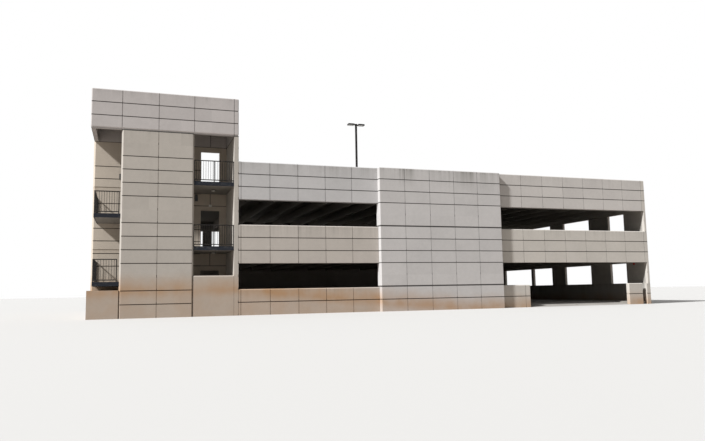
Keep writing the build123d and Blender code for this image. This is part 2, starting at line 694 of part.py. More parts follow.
def end_and_back_pieces():
    return {
        "right_wall_sill": right_wall_panel("ground", "sill_top"),
        "right_wall_spandrel": right_wall_panel("spandrel_foot", "spandrel_top"),
        "right_wall_parapet": right_wall_panel("parapet_foot", "parapet_top"),
        "right_wall_piers": right_wall_piers(),
        "left_wall_sill": left_wall_panel("ground", "sill_top"),
        "left_wall_spandrel": left_wall_panel("spandrel_foot", "spandrel_top"),
        "left_wall_parapet": left_wall_panel("parapet_foot", "parapet_top"),
        "left_wall_piers": left_wall_piers(),
        "back_wall": back_panel("ground", "spandrel_top", FLOOR_2),
        "back_parapet": back_panel("parapet_foot", "parapet_top", ROOF_DECK),
        "back_wall_piers": back_wall_piers(),
    }


def floor_pieces():
    return {
        "ground_slab": ground_slab(),
        "level_2_deck": main_deck(FLOOR_2),
        "level_2_deck_behind_tower": tower_deck(FLOOR_2),
        "roof_deck": main_deck(ROOF_DECK),
        "roof_deck_behind_tower": tower_deck(ROOF_DECK),
        "light_mast": light_mast(),
        "mast_lamps": mast_lamps(),
    }


def export(name, shape):
    """Centres a piece over the base and writes it."""
    parts = shape if isinstance(shape, list) else [shape]
    solids = [solid for part in parts for solid in part.solids()]
    moved = [Pos(-CENTRE_X, -CENTRE_Y, 0) * solid for solid in solids]
    whole = Compound(children=moved) if len(moved) > 1 else moved[0]
    export_step(whole, f"parts/{name}.step")


os.makedirs("parts", exist_ok=True)
for pieces in (tower_pieces(), stair_pieces(), front_pieces(), end_and_back_pieces(), floor_pieces()):
    for node, piece in pieces.items():
        export(node, piece)
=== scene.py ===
# %% [markdown]
# # A precast concrete car park
#
# Three parking levels stand behind banded concrete panels, with an open stair tower at the left end. The
# solids come in as a frame that is never moved or changed. This lesson gives them their finishes and adds
# the small pieces that a solid model leaves out: light fittings, plates and bolts, bearing pads, stair
# nosings, sealant.

# %% Load the frame
import math

import bmesh
import bpy
from mathutils import Matrix, Vector


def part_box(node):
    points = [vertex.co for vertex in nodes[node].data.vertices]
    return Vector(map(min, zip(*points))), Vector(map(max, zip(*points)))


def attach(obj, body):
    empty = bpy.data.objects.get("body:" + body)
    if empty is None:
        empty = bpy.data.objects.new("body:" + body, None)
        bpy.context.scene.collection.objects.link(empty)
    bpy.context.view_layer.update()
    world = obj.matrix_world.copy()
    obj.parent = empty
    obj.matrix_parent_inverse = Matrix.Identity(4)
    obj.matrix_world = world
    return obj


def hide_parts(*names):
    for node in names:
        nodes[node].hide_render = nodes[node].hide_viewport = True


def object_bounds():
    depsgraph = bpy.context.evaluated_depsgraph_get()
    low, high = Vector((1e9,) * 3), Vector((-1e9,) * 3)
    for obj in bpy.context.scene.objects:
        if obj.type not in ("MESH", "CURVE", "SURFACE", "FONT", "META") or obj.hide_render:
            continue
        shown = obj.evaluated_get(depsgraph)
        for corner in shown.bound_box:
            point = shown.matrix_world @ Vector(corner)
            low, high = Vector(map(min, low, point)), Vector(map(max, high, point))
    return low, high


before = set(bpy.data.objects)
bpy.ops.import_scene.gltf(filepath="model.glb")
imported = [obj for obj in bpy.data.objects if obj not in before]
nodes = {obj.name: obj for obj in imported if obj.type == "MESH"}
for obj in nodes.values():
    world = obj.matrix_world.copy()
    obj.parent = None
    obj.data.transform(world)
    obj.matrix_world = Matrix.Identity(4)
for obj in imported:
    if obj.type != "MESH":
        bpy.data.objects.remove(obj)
cad_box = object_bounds()
print("Solids in the frame:", len(nodes))

# %% [markdown]
# ## Sizes that the finishes share
#
# The walls are laid out on a grid: courses of one height and modules of one width. The lines could be typed
# in, but finishes that follow the grid read it from the frame, so that a painted shadow sits in the reveal
# that was cut for it.

# %% Read the grid and the main planes
closed_low, closed_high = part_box("closed_wall")
side_low, side_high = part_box("tower_side_wall")
head_low, head_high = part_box("tower_door_heads")
parapet_low, parapet_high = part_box("front_parapet")

OPEN_MODULES, CLOSED_MODULES, RIGHT_MODULES = 5, 5, 7
TOWER_GAP = 0.125   # from the tower to the first line of the open section
CLOSED_GAP = 0.110  # from the closed wall to the first line of the right section
COURSE = parapet_high.z / 12
MODULE = (closed_low.x - side_high.x - TOWER_GAP) / OPEN_MODULES
LEFT, RIGHT, BACK = cad_box[0].x, cad_box[1].x, cad_box[1].y
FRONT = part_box("tower_front_wall")[0].y
FRONT_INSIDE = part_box("front_sill_wall")[1].y
STAIR_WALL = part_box("tower_back_wall_left")[0].y
END_WALL_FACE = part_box("right_wall_parapet")[0].x
OPEN_GRID = (side_high.x + TOWER_GAP, MODULE)
CLOSED_GRID = (closed_low.x, (closed_high.x - closed_low.x) / CLOSED_MODULES)
RIGHT_GRID = (closed_high.x + CLOSED_GAP, (END_WALL_FACE - closed_high.x - CLOSED_GAP) / RIGHT_MODULES)
FLOOR_1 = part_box("ground_slab")[1].z
FLOOR_2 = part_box("level_2_deck")[1].z
ROOF_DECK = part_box("roof_deck")[1].z
SILL_TOP = 2 * COURSE
SPANDREL_FOOT, SPANDREL_TOP = 4 * COURSE, 7 * COURSE
PARAPET_FOOT, PARAPET_TOP = 9 * COURSE, 12 * COURSE
CROWN_FOOT, CROWN_TOP = 14 * COURSE, 17 * COURSE
print("Course", round(COURSE, 4), "module", round(MODULE, 4), "front plane", round(FRONT, 4))

# %% [markdown]
# ## The camera
#
# The picture was taken from in front of the left half, at about eye height over the entrance, turned to the
# right so that the long front runs away. Turning a camera by hand until the lines meet is slow, so its place,
# turn, tilt and slight roll were worked out from the panel joints. A lens of 33 mm on a sensor 36 mm wide
# takes in the same field.

# %% Set up the camera
CAMERA_PLACE = Vector((LEFT + 2.0748, FRONT - 33.0955, 1.136))
TURN_RIGHT = math.radians(18.92)
TILT_UP = math.radians(6.27)
ROLL = math.radians(-1.0)
LENS = 32.795
SENSOR_WIDTH = 36
FARTHEST_SEEN = 2000

level_right = Vector((math.cos(TURN_RIGHT), -math.sin(TURN_RIGHT), 0))
level_ahead = Vector((math.sin(TURN_RIGHT), math.cos(TURN_RIGHT), 0))
ahead = level_ahead * math.cos(TILT_UP) + Vector((0, 0, math.sin(TILT_UP)))
level_up = level_right.cross(ahead)
right = level_right * math.cos(ROLL) + level_up * math.sin(ROLL)
up = level_up * math.cos(ROLL) - level_right * math.sin(ROLL)

lens = bpy.data.cameras.new("camera")
lens.sensor_width = SENSOR_WIDTH
lens.lens = LENS
lens.clip_end = FARTHEST_SEEN
camera = bpy.data.objects.new("camera", lens)
camera.matrix_world = Matrix.Translation(CAMERA_PLACE) @ Matrix((right, up, -ahead)).transposed().to_4x4()
bpy.context.scene.collection.objects.link(camera)
bpy.context.scene.camera = camera
print("Camera looks", [round(v, 3) for v in ahead], "through", round(lens.lens, 2), "mm")

# %% [markdown]
# ## Sums on surfaces
#
# Concrete is never one colour, so most finishes are worked out point by point from the place on the wall. The
# nodes for that could be placed one by one, but a long sum is easier to read and to change as an expression.
# A Value wraps one output socket, and the usual operators add the Math nodes.

# %% Shader maths as expressions
class Value:
    """A number or colour that varies over a surface."""

    def __init__(self, tree, socket):
        self.tree = tree
        self.socket = socket

    def math(self, operation, *others):
        node = self.tree.nodes.new("ShaderNodeMath")
        node.operation = operation
        for place, value in zip(node.inputs, (self, *others)):
            if isinstance(value, Value):
                self.tree.links.new(value.socket, place)
            else:
                place.default_value = value
        return Value(self.tree, node.outputs[0])

    def __add__(self, other):
        return self.math("ADD", other)

    def __sub__(self, other):
        return self.math("SUBTRACT", other)

    def __rsub__(self, other):
        return self.math("MULTIPLY", -1).math("ADD", other)

    def __mul__(self, other):
        return self.math("MULTIPLY", other)

    def __truediv__(self, other):
        return self.math("DIVIDE", other)

    def __pow__(self, other):
        return self.math("POWER", other)

    def __gt__(self, other):
        return self.math("GREATER_THAN", other)

    def __lt__(self, other):
        return self.math("LESS_THAN", other)

    def __abs__(self):
        return self.math("ABSOLUTE")

    __radd__ = __add__
    __rmul__ = __mul__


# %% [markdown]
# Everything that isn't a sum goes through one method, so there is only one to learn. A Graph is a node tree
# being filled: its node() adds any node, first its settings and then the values or links of its sockets. A
# Finish is the graph of a material, and knows the place and the normal of the point that it colours.

# %% Any node by one method
class Graph:
    """A node tree being filled, with one method for every kind of node."""

    def __init__(self, tree):
        self.tree = tree

    def plug(self, value, socket):
        """Links a value to a socket, or sets a plain number or colour on it."""
        if isinstance(value, Value):
            self.tree.links.new(value.socket, socket)
        elif socket.type == "RGBA":
            socket.default_value = (*value, 1)
        else:
            socket.default_value = value

    def node(self, kind, settings=None, inputs=None, output=0):
        made = self.tree.nodes.new(kind)
        for name, value in (settings or {}).items():
            setattr(made, name, value)
        for name, value in (inputs or {}).items():
            self.plug(value, made.inputs[name])
        return Value(self.tree, made.outputs[output])

    def over(self, below, above, share):
        """One colour laid over another by a share from 0 to 1."""
        # A Mix node has sockets for each kind of value. Its colours are inputs 6 and 7 and output 2.
        return self.node("ShaderNodeMix", {"data_type": "RGBA"}, {0: share, 6: below, 7: above}, output=2)

    def shade(self, colour, value):
        """A colour made lighter or darker by a value around 1."""
        return self.node("ShaderNodeVectorMath", {"operation": "SCALE"}, {0: colour, "Scale": value})

    def ramp(self, value, start, end):
        """0 before start, 1 after end, and smooth between. Start may be the larger."""
        if start > end:
            return 1 - self.ramp(value, end, start)
        sockets = {"Value": value, "From Min": start, "From Max": end}
        return self.node("ShaderNodeMapRange", {"interpolation_type": "SMOOTHSTEP"}, sockets)


# %% A material as a graph
class Finish(Graph):
    """A material being made."""

    def __init__(self, name, **sockets):
        self.material = bpy.data.materials.new(name)
        self.material.use_nodes = True
        super().__init__(self.material.node_tree)
        self.shader = self.tree.nodes["Principled BSDF"]
        for socket, value in sockets.items():
            self.shader.inputs[socket.replace("_", " ")].default_value = value
        self.place = self.node("ShaderNodeTexCoord", output="Object")
        normal = self.node("ShaderNodeNewGeometry", output="True Normal")
        self.x, self.y, self.z = self.parts(self.place)
        self.nx, self.ny, self.nz = self.parts(normal)

    def parts(self, vector):
        """The x, y and z of a vector."""
        return [self.node("ShaderNodeSeparateXYZ", {}, {0: vector}, output=axis) for axis in "XYZ"]

    def noise(self, scale, detail=2.0, stretch=(1, 1, 1)):
        """Cloudy noise from 0 to 1 in cells of about 1 / scale metres."""
        place = self.node("ShaderNodeVectorMath", {"operation": "MULTIPLY"}, {0: self.place, 1: stretch})
        return self.node("ShaderNodeTexNoise", {}, {"Vector": place, "Scale": scale, "Detail": detail})

    def wear(self, colour, roughness, relief=None, depth=0.001):
        """Puts a colour, a roughness and a relief of some depth on the shader."""
        self.plug(colour, self.shader.inputs["Base Color"])
        self.plug(roughness, self.shader.inputs["Roughness"])
        if relief:
            bump = self.node("ShaderNodeBump", {}, {"Height": relief, "Distance": depth, "Strength": 0.6})
            self.plug(bump, self.shader.inputs["Normal"])
        return self.material


# %% [markdown]
# ## Precast concrete
#
# The panels are cast face down and lightly blasted, which leaves a warm grey with sand grains in it. Three
# things tell them from plain plaster: each square between the reveals has a shade of its own, the reveals
# are painted dark with dirt and with painted shade, deepest in the level ones, and read as dark lines, and
# rain draws streaks below every top edge. The reveals are real grooves, so their painted dirt and shade is
# found by depth behind the wall's face and not painted on a grid.

# %% Squares and reveals
SQUARE_VARIATION = 0.07
REVEAL_DEPTH = 0.020
LEVEL_REVEAL = (-0.05, 0.14)  # about the line between two courses, in courses
# LEVEL_SHADE and UPRIGHT_SHADE keep that share of the colour in a reveal, darkened as dirt and painted shade.
LEVEL_SHADE = 0.26            # what is left of the colour in a level reveal
UPRIGHT_SHADE = 0.74          # the same for an upright one


def squares(finish, grid, amount):
    """A shade for each square between the reveals of a section, whose grid is its start and its module."""
    start, module = grid
    column = ((finish.x - start) / module).math("FLOOR")
    row = (finish.z / COURSE).math("FLOOR")
    line = ((finish.y - FRONT) / MODULE).math("FLOOR")
    cell = finish.node("ShaderNodeCombineXYZ", {}, {0: column, 1: line, 2: row})
    chance = finish.node("ShaderNodeTexWhiteNoise", {"noise_dimensions": "3D"}, {"Vector": cell})
    return (chance - 0.5) * amount


def reveal_dirt_and_shade(finish, faces, upright=UPRIGHT_SHADE):
    """Painted dirt and painted shade in the grooves of the given faces: a little behind the face, but not on a
    sloped chamfer. Level reveals get more of the shade.
    """
    groove = 0
    for axis, plane, inward in faces:
        place, normal = {"x": (finish.x, finish.nx), "y": (finish.y, finish.ny)}[axis]
        depth = (place - plane) * inward
        facing = abs(normal)
        sloped = (facing > 0.3) * (facing < 0.95)
        here = (depth > REVEAL_DEPTH * 0.3) * (depth < REVEAL_DEPTH * 1.3) * (1 - sloped)
        groove = here.math("MAXIMUM", groove)
    # Level reveals are painted darker than upright ones: painted shade from above.
    above_line = (finish.z / COURSE + 0.5).math("FRACT") - 0.5
    level = (above_line > LEVEL_REVEAL[0]) * (above_line < LEVEL_REVEAL[1])
    return groove * (1 - upright + level * (upright - LEVEL_SHADE))


# %% Rain streaks
STREAK = (0.165, 0.160, 0.140)
RUST = (0.220, 0.120, 0.060)
RIM_HEIGHT = 0.22


def streaks(finish, edges, length):
    """Rain streaks that fade downwards from each top edge: soft broad drips in groups, fine ones, a rim."""
    groups = finish.ramp(finish.noise(0.55, 1.0, (1, 1, 0)), 0.38, 0.58)
    broad = finish.ramp(finish.noise(1.0, 2.0, (1.9, 1.9, 0.08)), 0.44, 0.64)
    fine = finish.ramp(finish.noise(1.0, 3.0, (7.0, 7.0, 0.20)), 0.42, 0.66)
    fade = rim = 0
    for top in edges:
        below = finish.z < top + 0.01
        fade = (finish.ramp(finish.z, top - length, top) ** 1.4 * below).math("MAXIMUM", fade)
        rim = (finish.ramp(finish.z, top - RIM_HEIGHT, top - 0.02) * below).math("MAXIMUM", rim)
    drips = ((broad * 0.6 + fine * 0.4) * (groups * 0.65 + 0.35) + 0.07) * fade
    return (drips + rim * (0.12 + fine * 0.3)) * (finish.nz < 0.3)


# %% [markdown]
# A few joints run between panels that stand flush. They could be cut as grooves, but are too narrow for that
# and are painted: one line at the foot of the tower's crown, painted as the open joint's shadow, and on the
# stair's back wall a line over each doorway with an upright one above it. The crown's own foot is a real
# groove, painted dark in its lower half as sealant and painted shade, and on the front painted lighter in its
# upper half, a painted highlight that lifts the groove's shade.

# %% Painted joints
JOINT = 0.044
BED_JOINT = 0.080
DOOR_CENTRE = (head_low.x + head_high.x) / 2
HEAD_COURSE, STOREY_COURSES = 4, 5


def crown_joint_shadow(finish):
    """The top edge of the shaft just under the crown, painted dark as the open joint's shadow."""
    return (finish.z > CROWN_FOOT - JOINT) * 0.85


def back_wall_joints(finish):
    """The joints of the stair's back wall, which lie one above the other in every storey."""
    storey = ((finish.z / COURSE - HEAD_COURSE) / STOREY_COURSES).math("FRACT") * STOREY_COURSES
    level = abs((storey / STOREY_COURSES + 0.5).math("FRACT") - 0.5) < JOINT / 2 / COURSE / STOREY_COURSES
    over_door = (storey < 1).math("MAXIMUM", finish.z > CROWN_FOOT)
    upright = (abs(finish.x - DOOR_CENTRE) < JOINT / 2) * over_door
    return level.math("MAXIMUM", upright) * (abs(finish.y - STAIR_WALL) < 0.004) * 0.6


def crown_panel_joints(finish):
    """The groove at the crown's foot: dark below as sealant and painted shade, and on the front lighter above
    as a painted highlight that lifts the groove's shade. Inside, the back wall's joints go on.
    """
    across = (finish.x > LEFT + JOINT) * (finish.x < side_high.x - JOINT)
    inside = across * (finish.y > FRONT + JOINT) * (finish.y < side_high.y - JOINT)
    bed = (finish.z < CROWN_FOOT + BED_JOINT) * (1 - inside)
    # Lower half: dark sealant and painted shade. Upper half on the front: a painted highlight.
    sealed_and_shaded = finish.z < CROWN_FOOT + BED_JOINT / 2
    painted_light = (finish.y < FRONT + JOINT) * 0.5
    return back_wall_joints(finish) + bed * (sealed_and_shaded * (painted_light + 0.4) - painted_light)


print("The doorways' centre line is at x =", round(DOOR_CENTRE, 3))

# %% [markdown]
# The foot of the front is stained red, high at the tower and falling evenly to nothing on the closed wall.
# Rain splashed the red up, so the stain is strongest along that falling line, fades above it and is weaker
# below. A stain that followed the foot of the wall would be simpler, but would look wrong at the tower.

# %% Earth stain
EARTH = (0.385, 0.240, 0.136)
EARTH_AT_TOWER = 1.3
EARTH_END = closed_low.x + 3.5 * CLOSED_GRID[1]
SPLASH_HEIGHT = 1.05


def earth_line(finish):
    """Height of the stain's strongest line along the front."""
    share = (EARTH_END - finish.x) / (EARTH_END - side_high.x)
    return share.math("MAXIMUM", 0).math("MINIMUM", 1) * EARTH_AT_TOWER


def earth_stain(finish, line):
    """Splashed earth, strongest at the line, weaker below it."""
    above = finish.z - line - (finish.noise(1.6, 4.0) - 0.5) * 0.35
    splash = finish.ramp(above, SPLASH_HEIGHT, -0.10)
    below = finish.ramp(finish.z - line, 0.05, -0.45)
    patchy = 0.72 + finish.ramp(finish.noise(1.1, 3.0), 0.35, 0.65) * 0.28
    return splash * (1 - below * 0.5) * patchy


print("The stain ends at x =", round(EARTH_END, 2))

# %% [markdown]
# All of this comes together in one function, because every panel is the same mix and differs only in how much
# weather it gets. The layers go on in the order in which they came on the real wall, with painted shade laid
# in: cast colour, rain streaks, splashed earth, dirt and painted shade in the reveals, dust and painted shade
# on the faces that no rain reaches.

# %% The concrete itself
def inside_faces(finish):
    """1 on the faces towards the covered parking levels, where no rain reaches. They get dust and painted
    shade.
    """
    across = (finish.x > LEFT + 0.15) * (finish.x < RIGHT - 0.15)
    return across * (finish.y > FRONT_INSIDE - 0.01) * (finish.y < BACK - 0.15) * (finish.z < ROOF_DECK)


def precast(name, colour, faces, edges, grid=OPEN_GRID, streak=0.3, length=1.1, earth=0.85, line=None,
            upright=UPRIGHT_SHADE, joints=None, no_reveal_shade_below=0.0, stain=STREAK, inside_shade_and_dust=0.35):
    """Blasted precast concrete with reveals on the given faces and rain streaks below the given edges."""
    finish = Finish(name, Specular_IOR_Level=0.12)
    grain = finish.noise(170.0)
    cloud = finish.noise(0.9, 5.0)
    patch = finish.noise(5.0, 3.0)
    light = 1 + squares(finish, grid, SQUARE_VARIATION) + (cloud - 0.5) * 0.16 + (patch - 0.5) * 0.10
    tone = finish.shade(finish.shade(colour, light), 1 + (grain - 0.5) * 0.35)
    tone = finish.over(tone, stain, streaks(finish, edges, length) * streak)
    if earth:
        tone = finish.over(tone, EARTH, earth_stain(finish, line(finish) if line else 0.0) * earth)
    # Painted dirt and painted shade in the reveals, left out below the given height.
    tone = finish.shade(tone, 1 - reveal_dirt_and_shade(finish, faces, upright) * (finish.z > no_reveal_shade_below))
    # Painted shade and dust on the faces inside the covered levels.
    if inside_shade_and_dust:
        tone = finish.shade(tone, 1 - inside_faces(finish) * inside_shade_and_dust)
    # Painted joints; at the crown's foot also painted shadow and a painted highlight.
    if joints:
        tone = finish.shade(tone, 1 - joints(finish))
    pits = finish.node("ShaderNodeTexVoronoi", {}, {"Vector": finish.place, "Scale": 14.0})
    holes = finish.ramp(pits, 0.045, 0.02)
    relief = grain * 0.6 + patch * 0.4 - holes * 1.5
    return finish.wear(tone, 0.82 + (grain - 0.5) * 0.15, relief, 0.0015)


# %% [markdown]
# ## Which panel gets which concrete
#
# All panels were cast from one mix, but sun and rain treat them differently. One finish for the whole
# building would look flat, so each section gets its own tone. The bands over the entrance are the palest,
# the closed section is greyer and carries the most rain streaks, and the tower's shaft is browner.

# %% Tones and faces of the sections
CROWN_TONE = (0.460, 0.434, 0.425)
SHAFT_TONE = (0.424, 0.394, 0.358)
PARAPET_TONE = (0.470, 0.462, 0.462)
BAND_TONE = (0.450, 0.415, 0.380)
CLOSED_TONE = (0.488, 0.474, 0.468)
OVER_ENTRANCE_TONE = (0.495, 0.472, 0.452)
ENTRANCE_TONE = (0.495, 0.467, 0.430)
STAIR_TONE = (0.540, 0.478, 0.405)

top_edges = (SILL_TOP, SPANDREL_TOP, PARAPET_TOP)
front_face = ("y", FRONT, 1)
back_face = ("y", BACK, -1)
shaft_faces = [front_face, ("x", side_high.x, -1)]
crown_faces = [front_face, ("y", side_high.y, -1), ("x", LEFT, 1), ("x", side_high.x, -1)]
closed_faces = [("y", closed_low.y, 1), ("x", closed_low.x, 1), ("x", closed_high.x, -1)]
end_faces = [("x", RIGHT, -1), front_face, back_face]
left_faces = [("x", LEFT, 1), back_face]


def paint(material, *names):
    """Gives a finish to solids of the frame."""
    for name in names:
        nodes[name].data.materials.clear()
        nodes[name].data.materials.append(material)
    print(material.name, "on", len(names), "solids")


# %% Finish the tower's panels
# The crown's foot groove gets no painted reveal shade; crown_panel_joints paints it instead.
paint(precast("crown_concrete", CROWN_TONE, crown_faces, (CROWN_TOP,), streak=0.2, length=0.7, earth=0,
              joints=crown_panel_joints, no_reveal_shade_below=CROWN_FOOT + BED_JOINT + 0.01, inside_shade_and_dust=0),
      "crown_front", "crown_back", "crown_left", "crown_right")
# The shaft carries the crown joint's painted shadow.
paint(precast("shaft_concrete", SHAFT_TONE, shaft_faces, (CROWN_FOOT,), streak=0.15, line=earth_line,
              upright=1.0, joints=crown_joint_shadow, inside_shade_and_dust=0),
      "tower_front_wall", "tower_side_wall", "tower_low_wall", "tower_base_walls")
paint(precast("stair_concrete", STAIR_TONE, [("y", STAIR_WALL, 1)], (FLOOR_2, ROOF_DECK), length=0.9,
              line=earth_line, joints=back_wall_joints, stain=RUST, inside_shade_and_dust=0),
      "tower_back_wall_left", "tower_back_wall_right", "tower_door_heads")

# %% Finish the deck's panels
paint(precast("parapet_concrete", PARAPET_TONE, [front_face], top_edges), "front_parapet")
paint(precast("band_concrete", BAND_TONE, [front_face], top_edges, earth=1.0, line=earth_line),
      "front_sill_wall", "front_spandrel")
paint(precast("closed_concrete", CLOSED_TONE, closed_faces, (PARAPET_TOP,), CLOSED_GRID, streak=0.55,
              length=1.5, line=earth_line),
      "closed_wall")
paint(precast("over_entrance_concrete", OVER_ENTRANCE_TONE, [front_face], top_edges, RIGHT_GRID, streak=0.15),
      "entrance_parapet")
paint(precast("entrance_concrete", ENTRANCE_TONE, [front_face], top_edges, RIGHT_GRID, streak=0.15),
      "entrance_spandrel", "entrance_low_walls")
paint(precast("end_concrete", ENTRANCE_TONE, end_faces, top_edges, streak=0.4),
      "right_wall_sill", "right_wall_spandrel", "right_wall_parapet", "right_wall_piers")
paint(precast("left_concrete", BAND_TONE, left_faces, top_edges, streak=0.4),
      "left_wall_sill", "left_wall_spandrel", "left_wall_parapet", "left_wall_piers")
paint(precast("back_concrete", BAND_TONE, [back_face], top_edges, streak=0.5),
      "back_wall", "back_parapet", "back_wall_piers")

# %% [markdown]
# ## Floors
#
# The decks are double tees with a broomed topping. From above one sees the joint between neighbouring tees
# every two modules, dark lanes along the middle, and painted bay lines that have worn thin. From below they
# are smooth from the steel forms, and the undersides and edges are painted darker as shade. Both sides are
# one solid, so the finish tells them apart by their normal.

# %% Bay lines and broomed concrete
DECK_TONE = (0.30, 0.285, 0.265)
SHADED_SOFFIT_TONE = (0.22, 0.205, 0.185)
MEMBRANE_TONE = (0.46, 0.455, 0.44)
LINE_PAINT = (0.70, 0.69, 0.66)
TEE_WIDTH = 2 * MODULE
TEE_JOINT = 0.024
BAY_WIDTH = 2.6
BAY_LENGTH = 5.3
BAY_LINE = 0.10


def bay_lines(finish, first, last):
    """Lines between the bays along the front and along the back, from one x to another."""
    across = abs(((finish.x - first) / BAY_WIDTH).math("FRACT") - 0.5) < BAY_LINE / BAY_WIDTH / 2
    rows = (finish.y < FRONT_INSIDE + BAY_LENGTH).math("MAXIMUM", finish.y > BACK - BAY_LENGTH)
    worn = finish.ramp(finish.noise(9.0, 5.0), 0.66, 0.5)
    return across * rows * worn * (finish.x > first) * (finish.x < last)


def floor_concrete(name, tone, tees=False, bays=None):
    """Broomed concrete on top; below and on the edges smooth concrete from steel forms, painted darker as
    shade.
    """
    finish = Finish(name, Specular_IOR_Level=0.12)
    above = finish.ramp(finish.nz, 0.3, 0.7)
    cloud = finish.noise(0.45, 5.0)
    lanes = finish.ramp(finish.noise(1.0, 3.0, (0.12, 1.1, 1.0)), 0.5, 0.7)
    spots = finish.ramp(finish.noise(1.7, 3.0), 0.66, 0.74)
    light = 1 + (cloud - 0.5) * 0.35 + (finish.noise(120.0) - 0.5) * 0.15
    worn = finish.shade(tone, light * (1 - lanes * 0.22) * (1 - spots * 0.35))
    if bays:
        worn = finish.over(worn, LINE_PAINT, bay_lines(finish, *bays))
    if tees:
        along = ((finish.x - closed_low.x) / TEE_WIDTH).math("FRACT")
        worn = finish.shade(worn, 1 - (abs(along - 0.5) < TEE_JOINT / TEE_WIDTH / 2) * 0.65)
    # Undersides and edges take a darker tone: painted shade.
    formed_and_shaded = finish.shade(SHADED_SOFFIT_TONE, 1 + (cloud - 0.5) * 0.25)
    broom = finish.noise(1.0, 3.0, (140.0, 4.0, 20.0))
    relief = broom * above + finish.noise(40.0) * 0.5
    return finish.wear(finish.over(formed_and_shaded, worn, above), 0.75 + (cloud - 0.5) * 0.2, relief, 0.002)


# %% Finish the decks, landings and steps
paint(floor_concrete("deck_concrete", DECK_TONE, True, (side_high.x, END_WALL_FACE)),
      "level_2_deck", "level_2_deck_behind_tower", "roof_deck", "roof_deck_behind_tower")
paint(floor_concrete("ground_floor_concrete", DECK_TONE, False, (side_high.x, closed_high.x)), "ground_slab")
paint(floor_concrete("stair_floor_concrete", DECK_TONE),
      "half_landing_lower", "half_landing_upper", "level_2_landing", "roof_landing", "closed_wall_ledges",
      "stair_flight_1", "stair_flight_2", "stair_flight_3", "stair_flight_4")
paint(floor_concrete("roof_membrane", MEMBRANE_TONE), "tower_roof")
print("Tees are", round(TEE_WIDTH, 3), "m wide and bays", BAY_WIDTH, "m")

# %% [markdown]
# ## Painted steel
#
# The railings are painted a brown black that has gone dull, the landing channels a blue black. Dust settles
# on their upper faces and rain leaves pale smears on the flat webs of the channels. The mast on the roof is
# dark bronze. Their shapes are right in the frame, so they keep their solids and only get a finish.

# %% Finish of the painted steel
RAILING_PAINT = (0.016, 0.014, 0.013)
CHANNEL_PAINT = (0.010, 0.012, 0.018)
BRONZE_PAINT = (0.013, 0.011, 0.011)
DUST = (0.16, 0.155, 0.145)


def steel_paint(name, colour, smears):
    """Dull dark paint with dust on top and washed smears."""
    finish = Finish(name, Specular_IOR_Level=0.2)
    cloud = finish.noise(11.0, 4.0)
    washed = finish.ramp(finish.noise(1.0, 4.0, (5.0, 5.0, 9.0)), 0.52, 0.72) * smears
    dust = finish.ramp(finish.nz, 0.5, 0.95) * finish.ramp(cloud, 0.35, 0.7) * 0.35
    tone = finish.over(finish.shade(colour, 1 + (cloud - 0.5) * 0.5), DUST, dust + washed)
    return finish.wear(tone, 0.52 + (cloud - 0.5) * 0.2, finish.noise(260.0), 0.0004)


railing_paint = steel_paint("railing_paint", RAILING_PAINT, 0.05)
bronze_paint = steel_paint("bronze_paint", BRONZE_PAINT, 0.05)
paint(railing_paint, "half_landing_lower_railing", "half_landing_upper_railing", "level_2_landing_railing",
      "roof_landing_railing", "stair_guards")
paint(steel_paint("channel_paint", CHANNEL_PAINT, 0.22), "landing_channels")

# %% [markdown]
# ## Tools for new pieces
#
# Each new piece is one bmesh. Its corners could be typed in as lists, but Blender's own cube and cone do that
# work: blocks and rods start from them, round fittings are a profile spun about an axis, and the same last
# step makes the mesh, gives it a finish and hangs it on the building.

# %% Blocks, rods and turned shapes
def corner_edges(verts):
    """The edges that meet at these corners, each once, and in the same order on every run."""
    return list(dict.fromkeys(edge for vert in verts for edge in vert.link_edges))


def block(bm, low, high, edge=0.0, segments=1):
    """A box between two corners, with its edges bevelled."""
    low, high = Vector(low), Vector(high)
    corners = bmesh.ops.create_cube(bm, size=1)["verts"]
    bmesh.ops.scale(bm, vec=high - low, verts=corners)
    bmesh.ops.translate(bm, vec=(low + high) / 2, verts=corners)
    if edge:
        bmesh.ops.bevel(bm, geom=corner_edges(corners), offset=edge, segments=segments, affect="EDGES",
                        profile=0.5, material=-1)
    return corners


def rod(bm, start, end, radius, sides=16):
    """A round bar between two points. Six sides make a bolt head."""
    start, end = Vector(start), Vector(end)
    way = end - start
    place = Matrix.Translation((start + end) / 2) @ way.to_track_quat("Z", "Y").to_matrix().to_4x4()
    bmesh.ops.create_cone(bm, cap_ends=True, segments=sides, radius1=radius, radius2=radius,
                          depth=way.length, matrix=place)


def turned(bm, profile, centre, axis, sides=32):
    """A closed round shape: a profile of (radius, height) points, spun about an axis through the centre."""
    old = set(bm.verts)
    points = [bm.verts.new((radius, 0, height)) for radius, height in profile]
    edges = [bm.edges.new(pair) for pair in zip(points, points[1:])]
    bmesh.ops.spin(bm, geom=points + edges, axis=(0, 0, 1), cent=(0, 0, 0), angle=2 * math.pi, steps=sides,
                   use_merge=True)
    made = [vert for vert in bm.verts if vert not in old]
    bmesh.ops.remove_doubles(bm, verts=made, dist=1e-5)
    made = [vert for vert in bm.verts if vert not in old]
    place = Matrix.Translation(Vector(centre)) @ Vector(axis).to_track_quat("Z", "Y").to_matrix().to_4x4()
    bmesh.ops.transform(bm, matrix=place, verts=made)


